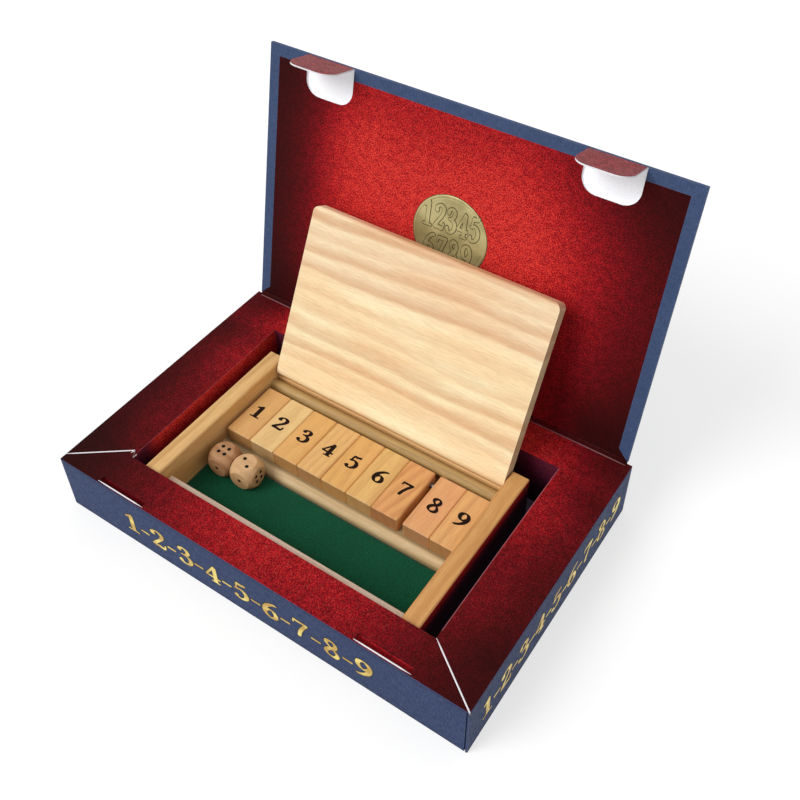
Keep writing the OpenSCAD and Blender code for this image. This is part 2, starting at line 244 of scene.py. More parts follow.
def own_place(tree, lid=False):
    """Place and facing along the walls' own axes, or along the leaning carton lid's."""
    place, normal = local(tree), local(tree, "Normal")
    if not lid:
        return place, normal
    place = put(tree, "Mapping", {"Vector": place, "Location": CREASE,
                "Rotation": (LID_LEAN, 0.0, 0.0)}, vector_type="TEXTURE")
    normal = put(tree, "Mapping", {"Vector": normal, "Rotation": (-LID_LEAN, 0.0, 0.0)},
                 vector_type="VECTOR")
    return place, normal


def blue_linen(name, thread, gap, lid=False, inside=None):
    """Blue linen card; inside, if given, colours the bare face to the liner, with a painted glow."""
    material, tree, shader = new_material(name, Specular_IOR_Level=0.15)
    place, normal = own_place(tree, lid)
    cloth = use(tree, linen, Place=place, Facing=normal, Threads_per_mm=LINEN_PER_MM)
    edge_wear_and_highlight = use(tree, edge_wear_and_highlight_mask, Place=place, Reach=0.0004, Patches=260.0)["Edge"]
    colour = mix(tree, cloth["Weave"], srgb(*gap), srgb(*thread))
    colour = mix(tree, spread(tree, cloth["Cloud"], 0.3, 0.7, 0.0, 0.3), colour,
                 srgb(*gap))
    colour = mix(tree, times(tree, edge_wear_and_highlight, 0.3), colour, srgb(130, 142, 170))
    if inside:
        bare = fades(tree, (axes(tree, normal)[2], -0.4, -0.6),
                     (axes(tree, place)[1], LID_TURNED_IN - 0.0004, LID_TURNED_IN))
        colour = mix(tree, bare, colour, inside)
        # painted light: the bare white card glows faintly, which lifts the shade in the tab recesses
        painted_glow = mix(tree, times(tree, bare, 0.14), (0.0, 0.0, 0.0, 1.0), inside)
        tree.links.new(painted_glow, shader["Emission Color"])
        shader["Emission Strength"].default_value = 1.0
    if not lid:               # painted shade: the blue darkens towards the top and the bottom of a wall
        height = axes(tree, place)[2]
        rim = most(tree, spread(tree, height, 0.0262, 0.0290, 0.0, 0.6),
                   spread(tree, height, 0.0040, 0.0, 0.0, 0.35))
        colour = mix(tree, rim, colour, srgb(28, 36, 62))
    finish_surface(tree, shader, colour, spread(tree, cloth["Weave"], 0, 1, 0.72, 0.5),
                   cloth["Weave"], LINEN_DEEP)
    return material


WALL_BLUE = (56, 73, 112), (40, 54, 88)          # raised threads, and the gaps between them
dress(blue_linen("blue linen card", *WALL_BLUE), "front_wall", "back_wall", "left_wall",
      "right_wall")

board, tree, shader = new_material("bottom board", Specular_IOR_Level=0.2)
place, normal = own_place(tree)
cloth = use(tree, linen, Place=place, Facing=normal, Threads_per_mm=LINEN_PER_MM)
up = axes(tree, normal)[2]
inner = mix(tree, cloth["Cloud"], srgb(112, 104, 132), srgb(134, 126, 148))
outer = mix(tree, cloth["Weave"], srgb(*WALL_BLUE[1]), srgb(*WALL_BLUE[0]))
finish_surface(tree, shader, mix(tree, spread(tree, up, 0.4, 0.6), outer, inner),
               spread(tree, cloth["Cloud"], 0, 1, 0.7, 0.9), cloth["Weave"], 0.00003)
dress(board, "carton_floor")


# ---------------------------------------------------------------- Gold figures on the walls
# A row of figures, one to nine with dashes, is stamped in gold foil on the front wall and on
# the right wall. The foil sits in a shallow dark print that shows as a thin rim.

BOLD = 0.098                   # half width of the broad pen, as part of a figure's height
FIGURES = {                    # strokes: points, half widths of the pen, its tilt in degrees
    1: [([(.33, .08), (.33, .90)], BOLD, .03, 0),
        ([(.11, .79), (.22, .83), (.36, .95)], .03, .045, 0),
        ([(.10, .03), (.56, .03)], .03, .03, 0)],
    2: [([(.13, .73), (.14, .86), (.32, .96), (.51, .88), (.53, .70), (.42, .50), (.24, .29),
          (.10, .09)], .092, .034, 12), ([(.14, .745), (.16, .745)], .08, .075, 0),
        ([(.11, .07), (.30, .085), (.50, .06), (.58, .11), (.60, .24)], .035, .062, 0)],
    3: [([(.13, .80), (.19, .91), (.33, .96), (.47, .89), (.49, .73), (.40, .61), (.26, .55)],
         .088, .034, 8), ([(.26, .55), (.44, .52), (.55, .40), (.54, .19), (.40, .05),
                           (.24, .03), (.12, .12)], .092, .034, 0),
        ([(.14, .79), (.16, .79)], .07, .07, 0), ([(.12, .16), (.14, .16)], .075, .075, 0)],
    4: [([(.42, .94), (.24, .62), (.06, .31)], .04, .034, 0),
        ([(.07, .29), (.62, .29)], .03, .045, 0),
        ([(.43, .90), (.43, .08)], .09, .03, 0), ([(.27, .03), (.58, .03)], .03, .028, 0)],
    5: [([(.20, .90), (.36, .89), (.52, .94)], .04, .06, 0),
        ([(.19, .90), (.15, .56)], .036, .03, 0),
        ([(.15, .56), (.28, .62), (.44, .57), (.54, .41), (.52, .19), (.37, .05), (.21, .03),
          (.11, .12)], .092, .036, 0), ([(.12, .15), (.14, .15)], .07, .07, 0)],
    6: [([(.54, .94), (.38, .86), (.21, .69), (.12, .48), (.11, .26), (.20, .08), (.34, .03),
          (.49, .10), (.54, .28), (.47, .47), (.34, .53), (.21, .47), (.13, .36)],
         .088, .034, -6)],
    7: [([(.10, .91), (.58, .91)], .04, .055, 0), ([(.10, .93), (.08, .76)], .03, .03, 0),
        ([(.57, .90), (.42, .62), (.31, .32), (.26, .05)], .07, .04, 0)],
    8: [([(.33, .96), (.18, .90), (.15, .75), (.27, .60), (.46, .43), (.54, .24), (.47, .08),
          (.32, .03), (.15, .10), (.12, .26), (.22, .43), (.42, .58), (.49, .76), (.44, .91),
          (.33, .96)], .08, .036, -28)]}
FIGURES[9] = [([(.66 - x, 1 - y) for x, y in FIGURES[6][0][0]], .088, .034, -6)]
FIGURES["-"] = [([(.04, .40), (.36, .40)], .03, .045, 0)]
FIGURE_WIDE = 0.66             # width of a figure as part of its height


def curve_through(points, steps=7):
    """Points on a smooth curve through these, or on the straight line between two."""
    if len(points) == 2:
        return points
    p = [points[0], *points, points[-1]]
    if points[0] == points[-1]:
        p = [points[-2], *points, points[1]]
    curve = []
    for a, b, c, d in zip(p, p[1:], p[2:], p[3:]):
        for t in np.arange(steps) / steps:
            curve.append(tuple(
                0.5 * (2 * b[k] + (c[k] - a[k]) * t + (2 * a[k] - 5 * b[k] + 4 * c[k] - d[k])
                       * t * t + (3 * b[k] - a[k] - 3 * c[k] + d[k]) * t ** 3)
                for k in (0, 1)))
    return curve + [points[-1]]


def outlines(figure, fatter=0.0, cell=0.02):
    """Closed outlines of a figure one unit high, drawn by a pen that much fatter."""
    xs, ys = np.arange(-0.16, 0.86, cell), np.arange(-0.16, 1.18, cell)
    x, y = np.meshgrid(xs, ys, indexing="ij")
    field = np.full(x.shape, 9.0)
    for points, wide, thin, tilt in FIGURES[figure]:
        c, s = math.cos(math.radians(tilt)), math.sin(math.radians(tilt))
        wide, thin = wide + fatter, thin + fatter
        u, v = (c * x + s * y) / wide, (c * y - s * x) / thin
        path = [((c * px + s * py) / wide, (c * py - s * px) / thin)
                for px, py in curve_through(points)]
        for (u0, v0), (u1, v1) in zip(path, path[1:]):
            du, dv = u1 - u0, v1 - v0
            t = np.clip(((u - u0) * du + (v - v0) * dv) / (du * du + dv * dv), 0, 1)
            field = np.minimum(field, np.hypot(u - u0 - t * du, v - v0 - t * dv) - 1)
    after, at = {}, {}
    for i, j in zip(*np.nonzero(np.abs(field[:-1, :-1]) < 4)):
        ring, out = [(i, j), (i + 1, j), (i + 1, j + 1), (i, j + 1)], []
        for a, b in zip(ring, ring[1:] + ring[:1]):
            fa, fb = field[a], field[b]
            if (fa < 0) != (fb < 0):
                key, t = (min(a, b), max(a, b)), fa / (fa - fb)
                at[key] = (x[a] + t * (x[b] - x[a]), y[a] + t * (y[b] - y[a]))
                out.append((key, fa < 0))
        for k, (key, leaving) in enumerate(out):
            if leaving:
                after[key] = out[(k + 1) % len(out)][0]
    loops = []
    while after:
        key = next(iter(after))
        loop = []
        while key in after:
            loop.append(at[key])
            key = after.pop(key)
        kept = []
        for k, point in enumerate(loop):
            a, b = Vector(kept[-1] if kept else loop[-1]), Vector(loop[(k + 1) % len(loop)])
            line, off = b - a, Vector(point) - a
            if abs(line.x * off.y - line.y * off.x) > 0.0012 * line.length:
                kept.append(point)
        if len(kept) > 2:
            loops.append(kept)
    return loops


def turn_outward(mesh, weld=0.0, thick=0.0):
    """Welds or thickens a mesh if asked, and turns its faces outward."""
    bm = bmesh.new()
    bm.from_mesh(mesh)
    if weld:
        bmesh.ops.remove_doubles(bm, verts=bm.verts, dist=weld)
    if thick:
        bmesh.ops.solidify(bm, geom=bm.faces[:], thickness=thick)
    bmesh.ops.recalc_face_normals(bm, faces=bm.faces)
    bm.to_mesh(mesh)
    bm.free()


def add_piece(name, mesh, material, body=None, smooth=False):
    """Adds a piece with this mesh and material, which rides on a body if one is given."""
    mesh.materials.append(material)
    mesh.polygons.foreach_set("use_smooth", [smooth] * len(mesh.polygons))
    piece = bpy.data.objects.new(name, mesh)
    bpy.context.scene.collection.objects.link(piece)
    if body:
        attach(piece, body)
    return piece


INK_THICK, FOIL_THICK = 0.00003, 0.00009   # of printed ink, and of foil stamped over it
PRESSED_IN = 0.00001           # how far a print's underside lies in the face that carries it


def printed(name, marks, place, thick, material, body):
    """A thin flat piece: marks are (outlines, width, height, x, y) on the face at place."""
    flat_curve = bpy.data.curves.new(name, "CURVE")
    flat_curve.dimensions, flat_curve.fill_mode = "2D", "BOTH"
    flat_curve.extrude = thick / 2
    for loops, wide, high, x0, y0 in marks:
        for loop in loops:
            spline = flat_curve.splines.new("POLY")
            spline.points.add(len(loop) - 1)
            for point, (x, y) in zip(spline.points, loop):
                point.co = (x0 + x * wide, y0 + y * high, 0.0, 1.0)
            spline.use_cyclic_u = True
    holder = bpy.data.objects.new(name, flat_curve)
    mesh = bpy.data.meshes.new_from_object(holder)
    bpy.data.objects.remove(holder)
    bpy.data.curves.remove(flat_curve)
    turn_outward(mesh, weld=1e-7)
    mesh.transform(place @ Matrix.Translation((0, 0, thick / 2 - PRESSED_IN)))
    return add_piece(name, mesh, material, body)


def face_at(origin, across, up):
    """Matrix of a flat face from its origin and its directions across and up."""
    across, up = Vector(across).normalized(), Vector(up).normalized()
    m = Matrix((across, up, across.cross(up))).transposed().to_4x4()
    m.translation = Vector(origin)
    return m


def fine_grained(name, dark, light, gloss, grain, depth, tone=None, **plain):
    """Material of one fine grain (scale, detail, roughness), which sets gloss and height.

    The grain mixes the two colours as well, or a broader tone (scale, low, high) does."""
    material, tree, shader = new_material(name, **plain)
    place = local(tree)
    grain = share = grain_noise(tree, place, *grain)
    if tone:
        share = spread(tree, grain_noise(tree, place, tone[0]), *tone[1:])
    finish_surface(tree, shader, mix(tree, share, srgb(*dark), srgb(*light)),
                   spread(tree, grain, 0.3, 0.7, *gloss), grain, depth)
    return material


foil = fine_grained("gold foil", (196, 156, 66), (246, 224, 128), (0.26, 0.5),
                    (900.0, 4.0, 0.6), 0.00003, tone=(160.0, 0.35, 0.65), Metallic=1.0)
foil_rim = fine_grained("dark print round the foil", (30, 32, 44), (58, 54, 52), (0.5, 0.8),
                        (1500.0, 3.0), 0.00001, Specular_IOR_Level=0.2)

FOIL_HIGH, FOIL_WIDE = 0.0114, 0.0126      # height of a foil figure, and its stretched width
FOIL_UP = 0.0079                           # foot of the rows above the table
ROW = [1, "-", 2, "-", 3, "-", 4, "-", 5, "-", 6, "-", 7, "-", 8, "-", 9]
DASH_MIDDLE = 0.20                         # middle of the dash, as part of a figure's height


def foil_row(name, place, length):
    """Stamps the row of figures over this length, from the face's origin."""
    for layer, fatter, thick, material in (("print", 0.035, INK_THICK, foil_rim),
                                           ("foil", 0.0, FOIL_THICK, foil)):
        marks = []
        step = (length - FIGURE_WIDE * FOIL_WIDE) / (len(ROW) - 1)
        for k, figure in enumerate(ROW):
            middle = DASH_MIDDLE if figure == "-" else FIGURE_WIDE / 2
            marks.append((outlines(figure, fatter), FOIL_WIDE, FOIL_HIGH,
                          k * step + (FIGURE_WIDE / 2 - middle) * FOIL_WIDE, 0.0))
        printed(f"{name}_{layer}", marks, place, thick, material, "carton")


front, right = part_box("front_wall"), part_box("right_wall")
foil_row("front_wall_figures", face_at((-0.0665, front[0].y, FOIL_UP), (1, 0, 0),
         (0, 0, 1)), 0.126)
foil_row("right_wall_figures", face_at((right[1].x, -0.0550, FOIL_UP), (0, 1, 0),
         (0, 0, 1)), 0.112)


# ---------------------------------------------------------------- Red surround and well
# The upper side of the carton is four card flaps, printed red with a bright speckle that
# dies away towards the outer corners, partly as print and partly as painted shade. Their
# inner edges fold down as the walls of the well.

# Speckled print: a fine speckle, broader blotches, and a few painted glints of reflection
speckle, given, result = new_group(
    "speckled print", (("Place", "Vector"),),
    (("Speckle", "Float"), ("Blotch", "Float"), ("Glint", "Float")))
fine = grain_noise(speckle, given["Place"], 1700.0, 3.0, 0.6)
blot = grain_noise(speckle, given["Place"], 330.0, 4.0, 0.65)
glint = grain_noise(speckle, stretch(speckle, given["Place"], 1.0, 0.6, 1.0, (7, 3, 5)),
                    2900.0, 1.0, 0.5)
speckle.links.new(spread(speckle, fine, 0.40, 0.60), result["Speckle"])
speckle.links.new(spread(speckle, blot, 0.3, 0.7), result["Blotch"])
speckle.links.new(spread(speckle, glint, 0.60, 0.74), result["Glint"])

RED_SHADES = ((0.0, (20, 6, 5)), (0.18, (68, 10, 13)), (0.38, (114, 13, 22)),
              (0.60, (170, 24, 32)), (0.80, (206, 42, 40)), (1.0, (232, 66, 54)))


def red_print(tree, place, light):
    """Colour and height of the red print; light runs from 0, nearly black, to 1, bright."""
    marks = use(tree, speckle, Place=place)
    grainy = calc(tree, "MULTIPLY_ADD", marks["Speckle"], 0.62,
                  times(tree, marks["Blotch"], 0.30))
    level = times(tree, light, calc(tree, "MULTIPLY_ADD", grainy, 0.80, 0.40))
    colour = put(tree, "ValToRGB", {"Fac": level})
    shades = colour.node.color_ramp.elements
    while len(shades) < len(RED_SHADES):
        shades.new(0.5)
    for shade, (at, rgb) in zip(shades, RED_SHADES):
        shade.position, shade.color = at, srgb(*rgb)
    # painted glints, strongest where the red is brightest
    glints = times(tree, marks["Glint"], light, light, 0.8)
    return mix(tree, glints, colour, srgb(244, 116, 96)), grainy


card_core = srgb(238, 236, 240)
TABS = [sum(corner.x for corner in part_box(tab)) / 2 for tab in ("left_tab", "right_tab")]
SLOT_HALF = 0.0120                                # half a slot's width
SLOT_BACK, SLOT_FRONT = -0.06051, -0.06350        # its rear edge, and its front one
FLAP_TOP = 0.0295                                 # height of the flaps over the table
well_front, well_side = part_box("front_surround")[1].y, -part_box("left_surround")[1].x
red_card, tree, shader = new_material("red printed card", Specular_IOR_Level=0.06)
place, normal = own_place(tree)
x, y, z = axes(tree, place)
ny, nz = axes(tree, normal)[1:]
wide, deep = calc(tree, "ABSOLUTE", x), calc(tree, "ABSOLUTE", y)
from_side, from_end = (calc(tree, "SUBTRACT", cad_high.x, wide),
                       calc(tree, "SUBTRACT", -front[0].y, deep))
corner = calc(tree, "SQRT", calc(tree, "MULTIPLY_ADD", from_side, from_side,
                                 times(tree, from_end, from_end)))
upward = spread(tree, nz, 0.4, 0.6)
sideways = calc(tree, "SUBTRACT", 1.0, upward)
depth = calc(tree, "SUBTRACT", FLAP_TOP, z)

# How bright the red is, partly print and partly painted light and shade: on the front flap,
# beside the well, painted lighter behind it where the wooden lid shades it, and painted darker
# down its walls
front_light = fades(tree, (x, -0.106, -0.008, 0.06, 0.69), (x, 0.106, 0.030, 0.20, 1.0),
                    (x, 0.0, 0.03, 1.0, 0.9), (y, -0.064, -0.054, 0.90, 1.0))
margin = spread(tree, x, -0.06, 0.06, 0.62, 0.76)
beside_well = fades(tree, (y, -0.012, 0.030, 0.29, 0.44), (x, -0.06, 0.06, 1.0, 1.1),
                    (from_side, 0.0, 0.022, margin, 1.28))
behind = spread(tree, y, 0.035, 0.052, beside_well, spread(tree, x, 0.0, 0.05, 1.02, 0.90))
on_top = mix(tree, spread(tree, y, -0.0475, -0.0435), front_light,
             times(tree, spread(tree, corner, 0.004, 0.048, 0.25, 1.0), behind))
in_well = spread(tree, y, well_front - 0.0020, well_front - 0.0010, on_top,
                 spread(tree, depth, 0.0, 0.026, 1.1, 0.30))
colour, height = red_print(tree, place, mix(tree, upward, in_well, on_top))

# The well's walls are navy low down, all over the rear one, and at the left one's front end
low_down = spread(tree, depth, 0.010, 0.026, 0.0, 0.9)
rear_wall = fades(tree, (ny, -0.6, -0.8, 0.0, 0.85), (y, 0.0, 0.01))
front_end = fades(tree, (y, -0.031, -0.041, 0.0, 0.85), (x, -0.07, -0.075),
                  (y, well_front - 0.0020, well_front - 0.0010))
navy = times(tree, most(tree, low_down, rear_wall, front_end), sideways)
colour = mix(tree, navy, colour, srgb(36, 25, 50))

# The white core shows on cut edges, but not where the card is folded, at the well and slots
at_well = fades(tree, (wide, 0.0762, 0.0760), (y, well_front - 0.0009, well_front - 0.0008),
                (y, 0.0476, 0.0475))
off_slot = calc(tree, "MINIMUM", *(off(tree, x, middle) for middle in TABS))
in_slot = fades(tree, (off_slot, SLOT_HALF + 0.0002, SLOT_HALF + 0.0001),
                (y, SLOT_BACK + 0.0002, SLOT_BACK + 0.0001))
cut = times(tree, sideways, spread(tree, depth, 0.00082, 0.00079),
            calc(tree, "SUBTRACT", 1.0, most(tree, at_well, in_slot)))
colour = mix(tree, cut, colour, card_core)

# The outermost edges are the blue walls' own folds
folded = most(tree, spread(tree, wide, 0.0998, 0.0999), spread(tree, deep, 0.06405, 0.06415))
colour = mix(tree, times(tree, sideways, folded), colour, srgb(*WALL_BLUE[0]))

# Pale wear along the front flap's edges, and a painted highlight, a thin light line, on the folds
# beside the well
edge_wear_and_highlight = times(tree, use(tree, edge_wear_and_highlight_mask, Place=place, Reach=0.0004, Patches=300.0)["Edge"],
             spread(tree, y, -0.036, -0.042, 0.0, 0.22))
colour = mix(tree, edge_wear_and_highlight, colour, srgb(176, 96, 106))
fold_highlight = times(tree, upward, fades(
    tree, (off(tree, wide, well_side), 0.0004, 0.0002, 0.0, 0.5), (x, -0.07, 0.0, 0.3, 1.0),
    (y, well_front, well_front + 0.001), (y, 0.0465, 0.0463)))
colour = mix(tree, fold_highlight, colour, srgb(190, 120, 130))
finish_surface(tree, shader, colour, spread(tree, height, 0, 1, 0.75, 0.6), height, 0.00005)
dress(red_card, "front_surround", "back_surround", "left_surround", "right_surround")


# ---------------------------------------------------------------- White cut edges
# Where the front flap was cut from the side flaps, its white core stands a little proud as a
# thin raised line along both mitres; at the right it turns down over the corner.

core = fine_grained("card core", (222, 218, 224), (252, 250, 252), (0.7, 0.95),
                    (2200.0, 4.0, 0.7), 0.00005, Specular_IOR_Level=0.3)
EDGE_WIDE, EDGE_SIDES, EDGE_STEP = 0.0006, 8, 0.004      # width, sides, length of a part
edge_up = cad_low.z + FLAP_TOP + 0.00002


def mesh_of(name, verts, faces, thick=0.0):
    """Mesh of these points and faces, thickened if asked, with its faces turned outward."""
    mesh = bpy.data.meshes.new(name)
    mesh.from_pydata(verts, [], faces)
    turn_outward(mesh, thick=thick)
    return mesh


def white_edge(name, corners, high):
    """Thin line of card core through these corners, half sunk and tapered at both ends."""
    corners, path = [Vector(corner) for corner in corners], []
    for a, b in zip(corners, corners[1:]):
        n = max(1, round((b - a).length / EDGE_STEP))
        path += [a.lerp(b, k / n) for k in range(n)]
    path.append(corners[-1])
    last = len(path) - 1
    verts, faces = [], []
    for k, point in enumerate(path):
        forward = (path[min(k + 1, last)] - path[max(k - 1, 0)]).normalized()
        side = forward.cross(Vector((0, 0, 1))).normalized()
        rise = side.cross(forward)
        taper = 0.35 if k in (0, last) else 1.0
        for a in range(EDGE_SIDES):
            turn = 2 * math.pi * a / EDGE_SIDES
            verts.append(point + side * math.cos(turn) * EDGE_WIDE / 2 * taper
                         + rise * math.sin(turn) * high / 2 * taper)
    for k in range(0, last * EDGE_SIDES, EDGE_SIDES):
        for a in range(EDGE_SIDES):
            b = (a + 1) % EDGE_SIDES
            faces.append((k + a, k + b, k + EDGE_SIDES + b, k + EDGE_SIDES + a))
    faces += [tuple(reversed(range(EDGE_SIDES))),
              tuple(range(last * EDGE_SIDES, (last + 1) * EDGE_SIDES))]
    return add_piece(name, mesh_of(name, verts, faces), core, "carton", True)


white_edge("left_cut_edge", [(-0.0999, -0.0610, edge_up), (-0.0772, -0.0437, edge_up),
                             (-0.0771, -0.0441, edge_up), (-0.0776, -0.0455, edge_up)],
           0.0004)
white_edge("right_cut_edge", [(0.0755, -0.0468, edge_up), (0.0998, -0.0640, edge_up),
                              (0.10005, -0.0642, edge_up - 0.0009)], 0.0004)


# ---------------------------------------------------------------- Hinge of the carton lid
# The lid is one piece with the carton: the card is creased along the back wall. A strip of
# blue paper runs over the crease outside, and a strip of the red print inside.

PAPER_THICK, PAPER_PARTS = 0.00008, 24


def skin(name, section, middle, half, material, thick=PAPER_THICK):
    """Thin strip across the carton, with this section of places back and up in mm."""
    n = len(section)
    verts = [(middle - half + 2 * half * k / PAPER_PARTS, y / 1000, z / 1000)
             for k in range(PAPER_PARTS + 1) for y, z in section]
    faces = [(k * n + j, k * n + j + 1, (k + 1) * n + j + 1, (k + 1) * n + j)
             for k in range(PAPER_PARTS) for j in range(n - 1)]
    return add_piece(name, mesh_of(name, verts, faces, thick), material, None, True)


crease_red, tree, shader = new_material("red crease", Specular_IOR_Level=0.06)
place = local(tree)
x, y, _ = axes(tree, place)
light = spread(tree, calc(tree, "ABSOLUTE", x), 0.02, 0.095, 0.5, 0.12)
colour, height = red_print(tree, place, light)
thin_line = spread(tree, off(tree, y, 0.0628), 0.0003, 0.0001, 0.0, 0.5)
colour = mix(tree, thin_line, colour, srgb(176, 126, 130))
finish_surface(tree, shader, colour, spread(tree, height, 0, 1, 0.7, 0.5), height, 0.00003)
dress(crease_red, "hinge_crease")

outer = skin("outer_hinge_paper",
             [(64.25, 26.4), (64.27, 28.0), (64.31, 29.0), (64.62, 29.62), (65.16, 29.98),
              (65.50, 30.46), (65.66, 31.2), (66.02, 33.0)], 0.0, 0.0975,
             bpy.data.materials["blue linen card"])
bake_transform(outer)
inner = skin("inner_hinge_paper",
             [(62.6, 29.56), (63.1, 29.62), (63.34, 29.86), (63.46, 30.3), (63.66, 30.9),
              (63.90, 31.9)], 0.0, 0.0972, crease_red)
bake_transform(inner)


# ---------------------------------------------------------------- Slots for the tabs
# Each tab goes into a slot in the front flap. The cut stands up white along its front edge;
# behind it the card is doubled downwards, and shows the red print with a faint painted glow.

slot_red_with_painted_glow, tree, shader = new_material("red card in the slot", Specular_IOR_Level=0.1)
place = local(tree)
x = axes(tree, place)[0]
colour, height = red_print(tree, place, spread(tree, x, -0.08, 0.05, 0.34, 0.60))
finish_surface(tree, shader, colour, spread(tree, height, 0, 1, 0.7, 0.5), height, 0.00003)
# painted light: the red glows faintly, so that it stays red down in the slot's shade
tree.links.new(colour, shader["Emission Color"])
shader["Emission Strength"].default_value = 0.35
for side, middle in zip(("left", "right"), TABS):
    white_edge(side + "_slot_edge", [(middle - SLOT_HALF - 0.0004, SLOT_FRONT, edge_up),
                                     (middle + SLOT_HALF + 0.0004, SLOT_FRONT, edge_up)],
               0.0005)
    doubled = skin(side + "_slot_backing", [(1000 * SLOT_BACK + 0.03, up) for up in
                   (28.68, 27.6, 26.4, 24.0, 20.5)], middle, SLOT_HALF + 0.006, slot_red_with_painted_glow,
                   0.0003)
    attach(doubled, "carton")


# ---------------------------------------------------------------- Carton lid
# Blue linen card outside, a red printed liner inside, and a blue border that is turned in
# over the edges and mitred at the corners. Where the tabs were cut out, the card is white and
# glows faintly as painted light.

recess_white = srgb(250, 251, 255)
LID_BLUE = (72, 88, 124), (54, 69, 102)
dress(blue_linen("blue linen lid", *LID_BLUE, lid=True, inside=recess_white), "lid_panel")
dress(blue_linen("blue linen border", *LID_BLUE, lid=True), "lid_left_border",
      "lid_right_border", "lid_front_border_left", "lid_front_border_middle",
      "lid_front_border_right")

liner, tree, shader = new_material("red lid liner", Specular_IOR_Level=0.06)
place, normal = own_place(tree, lid=True)
x, y, _ = axes(tree, place)
nz = axes(tree, normal)[2]

# The red is bright in the middle and fades towards the sides, less so half way up the right,
# partly as print and partly as painted light and shade. Painted shade also darkens the outer
# corners next to the crease.
slow = times(tree, calc(tree, "SUBTRACT", grain_noise(tree, place, 22.0, 3.0), 0.5), 0.020)
across, along = calc(tree, "ADD", x, slow), calc(tree, "ADD", y, slow)
bulge = fades(tree, (along, 0.0, -0.062), (along, -0.118, -0.070))
right_fade = calc(tree, "MULTIPLY_ADD", bulge, -0.009, across)
right_dark = spread(tree, bulge, 0.0, 1.0, 0.17, 0.24)
painted_corner_shade = fades(tree, (along, 0.0, -0.045, 0.45, 0.0),
                   (calc(tree, "ABSOLUTE", x), 0.066, 0.080))
light = fades(tree, (across, -0.095, -0.040, 0.15, 1.0),
              (right_fade, 0.095, 0.018, right_dark, 1.0), (along, -0.128, -0.088, 0.72, 1.0))
light = times(tree, light, calc(tree, "SUBTRACT", 1.0, painted_corner_shade))
colour, height = red_print(tree, place, light)
colour = mix(tree, spread(tree, nz, -0.6, -0.4), colour, card_core)
finish_surface(tree, shader, colour, spread(tree, height, 0, 1, 0.75, 0.6), height, 0.00005)
dress(liner, "lid_liner")


# ---------------------------------------------------------------- Gold seal
# A round foil seal is stamped on the liner above the wooden lid: a rim, and two rows of
# raised figures with darker grooves round them. It holds no words.

seal_gold = fine_grained("dull gold foil", (156, 144, 96), (194, 182, 128), (0.34, 0.55),
                         (700.0, 4.0, 0.6), 0.00003, tone=(90.0, 0.3, 0.7), Metallic=0.35)
seal_groove = fine_grained("groove of the seal", (62, 56, 30), (98, 90, 52), (0.5, 0.7),
                           (1200.0, 3.0), 0.00001, Metallic=0.5)
SEAL_X, SEAL_Y, SEAL_R = 0.0005, 0.0693, 0.0177          # its middle and radius
SEAL_HIGH, SEAL_WIDE = 0.0114, 0.0080                    # a figure's height and width
SEAL_SIDES = 72


def on_lid(x, y):
    """Place on the carton lid's inner face: x across, y up from the crease."""
    return Matrix.Translation(CREASE) @ Matrix.Rotation(LID_LEAN, 4, "X") @ Vector((x, -y, 0))


seal_face = face_at(on_lid(SEAL_X, SEAL_Y), (1, 0, 0), on_lid(0, 1) - on_lid(0, 0))


def seal_round(name, profile, material):
    """Round part of the seal, from steps of (radius, height) that start on its axis."""
    verts, faces, n = [Vector((0, 0, profile[0][1]))], [], SEAL_SIDES
    for radius, high in profile[1:]:
        verts += [Vector((radius * math.cos(2 * math.pi * a / n),
                          radius * math.sin(2 * math.pi * a / n), high)) for a in range(n)]
    for a in range(n):
        faces.append((0, 1 + a, 1 + (a + 1) % n))
        for k in range(len(profile) - 2):
            i, j = 1 + k * n + a, 1 + k * n + (a + 1) % n
            faces.append((i, i + n, j + n, j))
    last = 1 + (len(profile) - 2) * n
    faces.append(tuple(reversed(range(last, last + n))))
    add_piece(name, mesh_of(name, [seal_face @ v for v in verts], faces), material,
              "carton_lid")


seal_round("seal_disc", [(0, .00012), (.0160, .00012), (.0162, .00006), (.0166, .00006),
                         (.0168, .00022), (.0174, .00022), (SEAL_R, .00008),
                         (SEAL_R, -.00002)], seal_gold)
seal_round("seal_ring", [(0, .00002), (SEAL_R + .0003, .00002), (SEAL_R + .0003, -.00002)],
           seal_groove)
SEAL_ROWS = (((1, 2, 3, 4, 5), -.0139, .0012, .0056),    # figures, start, foot, pitch
             ((6, 7, 8, 9), -.0117, -.0128, .0060))
for layer, fatter, thick, material in (("grooves", .050, .00014, seal_groove),
                                       ("figures", .014, .0003, seal_gold)):
    marks = [(outlines(n, fatter), SEAL_WIDE, SEAL_HIGH, x0 + k * pitch, y0)
             for row, x0, y0, pitch in SEAL_ROWS for k, n in enumerate(row)]
    printed("seal_" + layer, marks, seal_face, thick, material, "carton_lid")


# ---------------------------------------------------------------- Closing tabs
# Two tongues cut out of the liner are folded out from the lid's front edge, and go into the
# slots in the front flap when it shuts. Dark red print above, bare white card below.

tab_card, tree, shader = new_material("closing tab card", Specular_IOR_Level=0.12)
place, normal = own_place(tree)
nz = axes(tree, normal)[2]
colour, height = red_print(tree, place, 0.55)
# painted sheen: pale pink patches over the dark red stand in for its glancing reflection
painted_sheen = grain_noise(tree, stretch(tree, place, 1.0, 1.0, 1.0, (0.4, 0, 0)), 90.0, 2.0)
colour = mix(tree, spread(tree, painted_sheen, 0.35, 0.65, 0.10, 0.40), colour, srgb(122, 66, 70))
furry = grain_noise(tree, place, 1800.0, 4.0, 0.7)
bare = mix(tree, furry, srgb(226, 222, 228), srgb(250, 249, 252))
colour = mix(tree, spread(tree, nz, 0.6, 0.4), colour, bare)
finish_surface(tree, shader, colour, spread(tree, height, 0, 1, 0.5, 0.34), height, 0.00003)
dress(tab_card, "left_tab", "right_tab")


